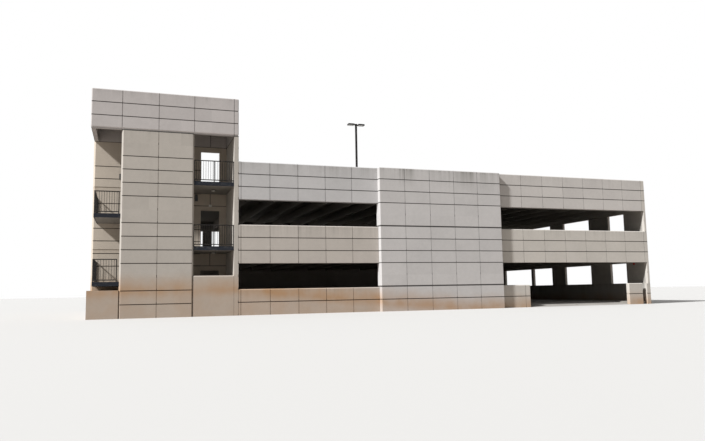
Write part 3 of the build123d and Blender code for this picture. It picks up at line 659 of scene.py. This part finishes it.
# %% The last step of every piece
def finish_piece(name, bm, material, slot, *stands_for, smooth=False):
    """Makes a bmesh a piece of the building, which may stand for solids of the frame."""
    bmesh.ops.recalc_face_normals(bm, faces=bm.faces)
    mesh = bpy.data.meshes.new(name)
    bm.to_mesh(mesh)
    bm.free()
    if smooth:
        mesh.shade_smooth()
    mesh.materials.append(material)
    piece = bpy.data.objects.new(name, mesh)
    bpy.context.scene.collection.objects.link(piece)
    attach(piece, "root")
    if stands_for:
        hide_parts(*stands_for)
    print(name, "has", len(mesh.polygons), "faces")


# %% [markdown]
# ## The light mast
#
# A square steel pole stands on a round concrete pedestal in the middle of the roof deck, and carries two flat
# lamps on a cross arm. The pole is bolted through a base plate, with a hand hole near its foot and a cap on
# top. The frame holds the mast as plain bars, so these pieces stand for them.

# %% Build the pedestal
mast_low, mast_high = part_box("light_mast")
MAST = (mast_low + mast_high) / 2
PEDESTAL_RADIUS = (mast_high.x - mast_low.x) / 2
PEDESTAL_TOP = ROOF_DECK + 0.65
PEDESTAL_RIM = 0.02
PEDESTAL_TONE = (0.40, 0.385, 0.36)

bm = bmesh.new()
turned(bm, [(0, ROOF_DECK), (PEDESTAL_RADIUS, ROOF_DECK), (PEDESTAL_RADIUS, PEDESTAL_TOP - PEDESTAL_RIM),
            (PEDESTAL_RADIUS - PEDESTAL_RIM, PEDESTAL_TOP), (0, PEDESTAL_TOP)], (MAST.x, MAST.y, 0), (0, 0, 1))
finish_piece("mast_pedestal", bm, floor_concrete("pedestal_concrete", PEDESTAL_TONE), "deck_concrete",
             "light_mast")

# %% Build the pole
POLE = 0.125
PLATE = 0.30
PLATE_TOP = PEDESTAL_TOP + 0.02
BOLT_REACH = 0.11
HATCH_WIDTH = 0.08
HATCH = (PEDESTAL_TOP + 0.35, PEDESTAL_TOP + 0.50)


def square_post(bm, width, foot, top, edge, segments=1):
    """A square block about the mast's middle line."""
    reach = Vector((width / 2, width / 2, 0))
    middle = Vector((MAST.x, MAST.y, 0))
    block(bm, middle - reach + Vector((0, 0, foot)), middle + reach + Vector((0, 0, top)), edge, segments)


bm = bmesh.new()
square_post(bm, PLATE, PEDESTAL_TOP, PLATE_TOP, 0.004)
square_post(bm, POLE, PLATE_TOP, mast_high.z, 0.012, 3)
for a, b in ((-1, -1), (-1, 1), (1, -1), (1, 1)):
    x, y = MAST.x + a * BOLT_REACH, MAST.y + b * BOLT_REACH
    rod(bm, (x, y, PEDESTAL_TOP), (x, y, PLATE_TOP + 0.055), 0.011)
    rod(bm, (x, y, PLATE_TOP), (x, y, PLATE_TOP + 0.025), 0.021, sides=6)
pole_front = MAST.y - POLE / 2
block(bm, (MAST.x - HATCH_WIDTH / 2, pole_front - 0.006, HATCH[0]),
      (MAST.x + HATCH_WIDTH / 2, pole_front + 0.002, HATCH[1]), 0.002)
finish_piece("mast_pole", bm, bronze_paint, "lamp_paint")

# %% [markdown]
# Each lamp is a shallow metal box with rounded corners, its glass let in from below. A recess could be cut
# with another box, but insetting the underside and pushing it up keeps one closed mesh with a rim of even
# width. A thin pane closes it.

# %% Finish of the lamp glass
GLASS_DARK, GLASS_PALE = (0.42, 0.43, 0.42), (0.60, 0.60, 0.57)
lamp_glass = Finish("lamp_glass", Specular_IOR_Level=0.5, Coat_Weight=0.3)
ribs = lamp_glass.ramp(lamp_glass.noise(1.0, 1.0, (60.0, 3.0, 3.0)), 0.4, 0.6)
lamp_glass.wear(lamp_glass.over(GLASS_DARK, GLASS_PALE, ribs), 0.25 + ribs * 0.1)
print(lamp_glass.material.name, "has", len(lamp_glass.tree.nodes), "nodes")

# %% Build the lamp heads
lamps_low, lamps_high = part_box("mast_lamps")
HEAD_LENGTH = 0.46
HEAD_RIM = 0.02
RECESS = 0.035
PANE_MARGIN = 0.035
PANE_FOOT, PANE_TOP = 0.012, 0.020
ARM = 0.06
ARM_FOOT = lamps_low.z + 0.02
ARM_OVERLAP = 0.03
CAP = POLE * 1.2

bm, panes = bmesh.new(), bmesh.new()
for x0 in (lamps_low.x, lamps_high.x - HEAD_LENGTH):
    x1 = x0 + HEAD_LENGTH
    old = set(bm.faces)
    block(bm, (x0, lamps_low.y, lamps_low.z), (x1, lamps_high.y, lamps_high.z), 0.022, 3)
    under = min((face for face in bm.faces if face not in old), key=lambda face: face.calc_center_median().z)
    bmesh.ops.inset_region(bm, faces=[under], thickness=HEAD_RIM)
    bmesh.ops.translate(bm, vec=(0, 0, RECESS), verts=under.verts)
    block(panes, (x0 + PANE_MARGIN, lamps_low.y + PANE_MARGIN, lamps_low.z + PANE_FOOT),
          (x1 - PANE_MARGIN, lamps_high.y - PANE_MARGIN, lamps_low.z + PANE_TOP), 0.002)
block(bm, (lamps_low.x + HEAD_LENGTH - ARM_OVERLAP, MAST.y - ARM / 2, ARM_FOOT),
      (lamps_high.x - HEAD_LENGTH + ARM_OVERLAP, MAST.y + ARM / 2, ARM_FOOT + ARM), 0.006, 2)
square_post(bm, CAP, lamps_low.z + 0.01, lamps_high.z, 0.008, 2)
finish_piece("lamp_heads", bm, bronze_paint, "lamp_paint", "mast_lamps")
finish_piece("lamp_panes", panes, lamp_glass.material, "lamp_paint")

# %% [markdown]
# ## Lights in the stair tower
#
# Under the level 2 landing and under the roof landing hangs a round light with a milky dome. The dome could
# be a squashed sphere, but a quarter arc spun about its axis ends exactly where the ring below it begins.

# %% Build the round ceiling lights
lights_low, lights_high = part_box("tower_lights")
LIGHT_RADIUS = 0.13
LIGHT_HEIGHT = 0.09
RING_HEIGHT = 0.03
RING_EDGE = 0.008
DOME_RADIUS = 0.112
LIGHT_X = lights_high.x - LIGHT_RADIUS
LIGHT_Y = lights_low.y + LIGHT_RADIUS
MILK_WHITE = (0.48, 0.47, 0.44)
milk = Finish("milky_glass", Specular_IOR_Level=0.5)
haze = milk.noise(14.0, 3.0)
milk.wear(milk.shade(MILK_WHITE, 0.9 + haze * 0.2), 0.3 + haze * 0.1)

ring = [(0, 0), (LIGHT_RADIUS, 0), (LIGHT_RADIUS, RING_EDGE - RING_HEIGHT),
        (LIGHT_RADIUS - RING_EDGE, -RING_HEIGHT), (0, -RING_HEIGHT)]
bend = [math.radians(angle) for angle in range(0, 90, 15)]
dome = [(0, -RING_HEIGHT),
        *((DOME_RADIUS * math.cos(t), -RING_HEIGHT - (LIGHT_HEIGHT - RING_HEIGHT) * math.sin(t)) for t in bend),
        (0, -LIGHT_HEIGHT)]
bases, domes = bmesh.new(), bmesh.new()
for ceiling in (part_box("level_2_landing")[0].z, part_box("roof_landing")[0].z):
    turned(bases, ring, (LIGHT_X, LIGHT_Y, ceiling), (0, 0, 1))
    turned(domes, dome, (LIGHT_X, LIGHT_Y, ceiling), (0, 0, 1))
finish_piece("ceiling_light_rings", bases, bronze_paint, "lamp_paint", "tower_lights")
finish_piece("ceiling_light_domes", domes, milk.material, "lamp_paint", smooth=True)

# %% [markdown]
# A small floodlight lights the steps from the left crown panel. It hangs in a bent yoke, and has a finned
# back and a flat glass. Every part of it lies square to the wall, so one helper places them all by how far
# they stand off it.

# %% Build the floodlight
FLOOD_WIDTH, FLOOD_HEIGHT = 0.24, 0.30
FIN_COUNT, FIN_STEP = 6, 0.04
flood = Vector((lights_low.x, lights_high.y - FLOOD_WIDTH / 2, lights_high.z - FLOOD_HEIGHT / 2))


def off_wall(bm, reach, half_width, height, edge, segments=1, side=0.0):
    """A block between two distances off the wall and between two heights about the floodlight's middle."""
    (near, far), (foot, top) = reach, height
    block(bm, flood + Vector((near, side - half_width, foot)), flood + Vector((far, side + half_width, top)),
          edge, segments)


bm = bmesh.new()
off_wall(bm, (0, 0.012), 0.06, (-0.07, 0.07), 0.003)
rod(bm, flood, flood + Vector((0.05, 0, 0)), 0.018)
for side in (0.006 - FLOOD_WIDTH / 2, FLOOD_WIDTH / 2 - 0.006):
    off_wall(bm, (0.04, 0.13), 0.005, (-0.02, 0.02), 0.001, side=side)
    rod(bm, flood + Vector((0.11, side - 0.006, 0)), flood + Vector((0.11, side + 0.006, 0)), 0.014, sides=6)
off_wall(bm, (0.04, 0.048), FLOOD_WIDTH / 2, (-0.02, 0.02), 0.001)
off_wall(bm, (0.06, 0.175), 0.105, (-0.13, 0.13), 0.01, 2)
for i in range(FIN_COUNT):
    foot = -0.10 + i * FIN_STEP
    off_wall(bm, (0.05, 0.062), 0.09, (foot, foot + 0.008), 0.001)
finish_piece("floodlight", bm, bronze_paint, "lamp_paint")
bm = bmesh.new()
off_wall(bm, (0.172, 0.180), 0.09, (-0.115, 0.115), 0.003)
finish_piece("floodlight_glass", bm, lamp_glass.material, "lamp_paint")

# %% [markdown]
# ## Fittings on the walls
#
# Three small things sit on the stair's back wall: a white light over the level 2 doorway, a dark enclosure
# beside it, and a grey cabinet in the left bay. Each is its own shape, because a plain box would read as a
# blank spot. The light's front leans back, which is one edge moved before the corners are bevelled.

# %% Factory paint and cabinets
COAT_WHITE = (0.80, 0.79, 0.76)
COAT_BLACK = (0.035, 0.037, 0.042)
COAT_GREY = (0.085, 0.078, 0.070)
COAT_RED = (0.42, 0.02, 0.015)


def coated(name, colour, rough=0.4):
    """Factory paint with faint streaks of dirt and fine orange peel."""
    finish = Finish(name, Specular_IOR_Level=0.45)
    cloud = finish.noise(9.0, 4.0)
    dirt = finish.ramp(finish.noise(1.0, 3.0, (14.0, 14.0, 2.0)), 0.5, 0.75) * 0.3
    tone = finish.over(finish.shade(colour, 1 + (cloud - 0.5) * 0.2), STREAK, dirt)
    return finish.wear(tone, rough + (cloud - 0.5) * 0.15, finish.noise(400.0), 0.0003)


def cabinet(bm, left, right, foot, top, depth):
    """A wall cabinet: body, door with a gap round it, two hinges and a latch."""
    front = STAIR_WALL - depth
    block(bm, (left, front + 0.02, foot), (right, STAIR_WALL, top), 0.006)
    block(bm, (left + 0.008, front + 0.004, foot + 0.008), (right - 0.008, front + 0.024, top - 0.008), 0.004)
    for share in (0.2, 0.8):
        hinge = Vector((left + 0.004, front + 0.012, foot + share * (top - foot)))
        rod(bm, hinge - Vector((0, 0, 0.02)), hinge + Vector((0, 0, 0.02)), 0.007, sides=8)
    latch = Vector((right - 0.03, front, (foot + top) / 2))
    rod(bm, latch + Vector((0, 0.006, 0)), latch - Vector((0, 0.006, 0)), 0.012)


# %% Build the doorway light, the enclosure and the cabinet
DOOR_LIGHT = Vector((0.16, 0.09, 0.11))
DOOR_LIGHT_LEAN = 0.04
ENCLOSURE = (LEFT + 5.26, LEFT + 5.407, 6.231, 6.590, 0.11)    # left, right, foot, top and depth
GREY_CABINET = (LEFT + 1.29, LEFT + 1.44, 7.295, 7.594, 0.12)  # the same
half = DOOR_LIGHT / 2
door_light = Vector((DOOR_CENTRE, STAIR_WALL - half.y, 6.005))

bm = bmesh.new()
body = block(bm, door_light - half, door_light + half)
front_top = [vert for vert in body if vert.co.y < door_light.y and vert.co.z > door_light.z]
bmesh.ops.translate(bm, vec=(0, DOOR_LIGHT_LEAN, 0), verts=front_top)
bmesh.ops.bevel(bm, geom=corner_edges(body), offset=0.007, segments=2, affect="EDGES", profile=0.5, material=-1)
finish_piece("doorway_light", bm, coated("white_coat", COAT_WHITE), "lamp_paint")

bm = bmesh.new()
cabinet(bm, *ENCLOSURE)
finish_piece("stair_enclosure", bm, coated("enclosure_coat", COAT_BLACK), "lamp_paint")
bm = bmesh.new()
cabinet(bm, *GREY_CABINET)
finish_piece("stair_cabinet", bm, coated("brown_grey_coat", COAT_GREY), "lamp_paint")

# %% [markdown]
# A red bell hangs inside the entrance, on the pier at its right. Its gong is a shallow bowl with a rolled rim
# and a nut in the middle, all of it round, so one profile spun about the bell's axis makes it.

# %% Build the bell
BELL_BOX = 0.045
PIER_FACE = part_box("right_wall_piers")[0].x
bell = Vector((PIER_FACE, FRONT + 1.12, 2.60))
gong = [(0, 0.030), (0.06, 0.030), (0.075, 0.034), (0.075, 0.040), (0.068, 0.058), (0.045, 0.070),
        (0.018, 0.075), (0.018, 0.082), (0, 0.082)]
bm = bmesh.new()
block(bm, bell - Vector((0.035, BELL_BOX, BELL_BOX)), bell + Vector((0, BELL_BOX, BELL_BOX)), 0.005)
turned(bm, gong, bell, (-1, 0, 0))
finish_piece("bell", bm, coated("red_coat", COAT_RED, 0.35), "lamp_paint")

# %% [markdown]
# ## Stair nosings
#
# Bare concrete steps chip at the edge, so each tread has a cast-in metal strip near its front. The strips
# could be painted on, but a raised edge catches the light. They are thin blocks, and their places follow
# from the flights' boxes: eight treads in a lower flight, nine in an upper one.

# %% Build the nosings
TREAD = 0.29
RISERS = 19
RISER = (FLOOR_2 - FLOOR_1) / RISERS
NOSING_SETBACK = 0.012
NOSING_WIDTH = 0.06
NOSING_HEIGHT = 0.004
NOSING_END = 0.06
WORN_DARK, WORN_BRIGHT = (0.18, 0.175, 0.165), (0.42, 0.41, 0.39)
worn_metal = Finish("worn_metal", Metallic=1.0)
rubbed = worn_metal.noise(24.0, 4.0)
worn_metal.wear(worn_metal.over(WORN_DARK, WORN_BRIGHT, worn_metal.ramp(rubbed, 0.4, 0.65)),
                0.45 + rubbed * 0.2, worn_metal.noise(1.0, 2.0, (4.0, 220.0, 4.0)), 0.0005)

bm = bmesh.new()
flights = (("stair_flight_1", FLOOR_1, -1), ("stair_flight_2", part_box("half_landing_lower")[1].z, 1),
           ("stair_flight_3", FLOOR_2, -1), ("stair_flight_4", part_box("half_landing_upper")[1].z, 1))
for name, foot, way in flights:
    low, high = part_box(name)
    start = low.x if way > 0 else high.x
    for i in range(round((high.x - low.x) / TREAD)):
        edge = start + way * (i * TREAD + NOSING_SETBACK)
        x0, x1 = sorted((edge, edge + way * NOSING_WIDTH))
        top = foot + (i + 1) * RISER
        block(bm, (x0, low.y + NOSING_END, top - NOSING_HEIGHT), (x1, high.y - NOSING_END, top + NOSING_HEIGHT),
              0.0015)
finish_piece("stair_nosings", bm, worn_metal.material, "railing_paint")

# %% [markdown]
# ## Railing feet
#
# The posts aren't set in concrete. Each is welded to a small plate behind it, and two bolts hold the plate to
# the landing. The plates lie on the landing, so they are placed by the railings' own boxes.

# %% Build the railing feet
FOOT_LENGTH, FOOT_WIDTH, FOOT_HEIGHT = 0.11, 0.07, 0.010
POST = 0.045
RAIL_CLEARANCE = 0.005


def foot_plate(bm, post, inward):
    """A plate behind a post, with two bolts, lying on the landing."""
    way = Vector(inward)
    side = Vector((way.y, way.x, 0))
    centre = Vector(post) + way * (POST / 2 + FOOT_LENGTH / 2)
    reach = way * FOOT_LENGTH / 2 + side * FOOT_WIDTH / 2
    half = Vector((abs(reach.x), abs(reach.y), 0))
    block(bm, centre - half, centre + half + Vector((0, 0, FOOT_HEIGHT)), 0.002)
    for share in (-0.15, 0.3):
        bolt = centre + way * FOOT_LENGTH * share
        rod(bm, bolt, bolt + Vector((0, 0, FOOT_HEIGHT + 0.010)), 0.011, sides=6)


bm = bmesh.new()
for name in ("half_landing_lower_railing", "half_landing_upper_railing"):
    low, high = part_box(name)
    for x in (low.x + POST / 2, high.x - POST / 2):
        foot_plate(bm, (x, low.y + POST / 2, low.z), (0, 1, 0))
    start = low.y + POST + RAIL_CLEARANCE
    for y in ((start + high.y) / 2, high.y - POST - 0.01):
        foot_plate(bm, (low.x + POST / 2, y, low.z), (1, 0, 0))
for name in ("level_2_landing_railing", "roof_landing_railing"):
    low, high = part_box(name)
    for x in (low.x + POST, (low.x + high.x) / 2, high.x - POST):
        foot_plate(bm, (x, low.y + POST / 2, low.z), (0, 1, 0))
finish_piece("railing_feet", bm, railing_paint, "railing_paint")

# %% [markdown]
# ## Bearing pads
#
# The stems of the double tees don't touch the ledges. Each rests on a rubber pad, which fills the narrow gap
# that the solids leave there. The pads repeat with the stems, one module apart, along the front and the back.

# %% Build the bearing pads
STEM_WIDTH = 0.12
DECK_DEPTH = 0.150 + 0.500  # a tee's flange and its stem
PAD_LENGTH, PAD_HEIGHT = 0.15, 0.015
MAIN_STEMS, TOWER_STEMS = 17, 4
RUBBER_BLACK = (0.022, 0.021, 0.020)
rubber = Finish("pad_rubber")
bloom = rubber.noise(30.0, 3.0)
rubber.wear(rubber.shade(RUBBER_BLACK, 0.7 + bloom * 0.6), 0.75 + bloom * 0.1, bloom, 0.0005)

front_pad, back_pad = FRONT_INSIDE + 0.03, BACK - 0.40
first_main = closed_low.x - OPEN_MODULES * MODULE + MODULE / 2
first_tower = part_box("roof_deck_behind_tower")[0].x + MODULE / 2
bm = bmesh.new()
for floor in (FLOOR_2, ROOF_DECK):
    top = floor - DECK_DEPTH
    for first, count, rows in ((first_main, MAIN_STEMS, (front_pad, back_pad)),
                               (first_tower, TOWER_STEMS, (back_pad,))):
        for i in range(count):
            x = first + i * MODULE
            for y in rows:
                block(bm, (x - STEM_WIDTH / 2, y, top - PAD_HEIGHT), (x + STEM_WIDTH / 2, y + PAD_LENGTH, top),
                      0.002)
finish_piece("bearing_pads", bm, rubber.material, "railing_paint")

# %% [markdown]
# ## Sealant
#
# Neighbouring panels never touch. The open joints between them are closed by a band of sealant, a little
# behind the face, which has gone dark. The bands are blocks that fill each joint from side to side, so they
# are measured between the panels and not typed in.

# %% Build the sealant in the upright joints
SEALANT_FRONT = FRONT + 0.012
SEALANT_BACK = SEALANT_FRONT + 0.020
SEALANT_TOP_GAP = 0.01
SEALANT_GREY = (0.035, 0.032, 0.028)
sealant = Finish("sealant")
age = sealant.noise(1.0, 3.0, (20.0, 20.0, 2.0))
sealant.wear(sealant.shade(SEALANT_GREY, 0.8 + age * 0.4), 0.7 + age * 0.1, sealant.noise(60.0), 0.001)

entrance_low, entrance_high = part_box("entrance_parapet")
low_wall_low, low_wall_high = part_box("tower_low_wall")
bands = ((0, SILL_TOP), (SPANDREL_FOOT, SPANDREL_TOP), (PARAPET_FOOT, PARAPET_TOP))
section_joints = ((side_high.x, parapet_low.x), (parapet_high.x, closed_low.x), (closed_high.x, entrance_low.x))
joints = [(*joint, *band) for joint in section_joints for band in bands]
joints += [(entrance_high.x, END_WALL_FACE, *band) for band in bands[1:]]
joints += [
    (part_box("crown_front")[1].x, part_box("crown_right")[0].x, CROWN_FOOT, CROWN_TOP),
    (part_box("tower_front_wall")[1].x, low_wall_low.x, 0, low_wall_high.z),
    (low_wall_high.x, side_low.x, 0, low_wall_high.z),
]
bm = bmesh.new()
for x0, x1, foot, top in joints:
    block(bm, (x0, SEALANT_FRONT, foot), (x1, SEALANT_BACK, top - SEALANT_TOP_GAP))
finish_piece("joint_sealant", bm, sealant.material, "panel_concrete")

# %% [markdown]
# ## A floor, a pale room and a soft key light
#
# The building is shown on a plain pale floor. One broad lamp stands in for the sun at the left, so that it
# grazes the front, and an even pale room fills the shadows. More light would also make the background white,
# but it would wash out the concrete. So the camera alone sees the room as white. It sees the floor as pale
# too, but the light that bounces off the floor is that of a darker, warmer one, or the ceilings would glow.

# %% Build the key light and the room
SUN_WAY = Vector((0.71, 0.22, -0.655))
SUN_STRENGTH = 6.3
SUN_SPREAD = math.radians(4)
ROOM_LIGHT = 0.36


def seen_directly(graph):
    """1 for what the camera sees, also by a mirror or through glass, and 0 for light that falls on things."""
    rays = ("Is Camera Ray", "Is Glossy Ray", "Is Transmission Ray")
    straight, mirrored, through = [graph.node("ShaderNodeLightPath", output=ray) for ray in rays]
    return straight.math("MAXIMUM", mirrored).math("MAXIMUM", through)


sun = bpy.data.lights.new("key_light", "SUN")
sun.energy = SUN_STRENGTH
sun.angle = SUN_SPREAD
sun_object = bpy.data.objects.new("key_light", sun)
sun_object.matrix_world = SUN_WAY.to_track_quat("-Z", "Y").to_matrix().to_4x4()
bpy.context.scene.collection.objects.link(sun_object)

room = bpy.data.worlds.new("room")
room.use_nodes = True
backdrop = Graph(room.node_tree)
background = room.node_tree.nodes["Background"]
backdrop.plug((1, 1, 1), background.inputs["Color"])
backdrop.plug(ROOM_LIGHT + (1 - ROOM_LIGHT) * seen_directly(backdrop), background.inputs["Strength"])
bpy.context.scene.world = room
bpy.context.scene.view_settings.view_transform = "Standard"
print("Key light", SUN_STRENGTH, "room", ROOM_LIGHT)

# %% Build the floor
FLOOR_TONE = (0.50, 0.495, 0.485)
FLOOR_BOUNCE = (0.33, 0.295, 0.26)
FLOOR_REACH = 450.0

floor_mesh = bpy.data.meshes.new("studio_floor")
bm = bmesh.new()
bmesh.ops.create_grid(bm, x_segments=1, y_segments=1, size=FLOOR_REACH)
bm.to_mesh(floor_mesh)
bm.free()
studio_floor = bpy.data.objects.new("studio_floor", floor_mesh)
bpy.context.scene.collection.objects.link(studio_floor)
floor_finish = Finish("studio_floor", Roughness=0.9)
floor_tone = floor_finish.over(FLOOR_BOUNCE, FLOOR_TONE, seen_directly(floor_finish))
floor_finish.plug(floor_tone, floor_finish.shader.inputs["Base Color"])
floor_mesh.materials.append(floor_finish.material)
print("Studio floor of", 2 * FLOOR_REACH, "m")

# %% [markdown]
# ## The solids' box
#
# The new pieces mustn't make the building larger than its solids, so the solids' box is printed.

# %% Measure and finish
print("Solids", [tuple(round(c, 3) for c in v) for v in cad_box])
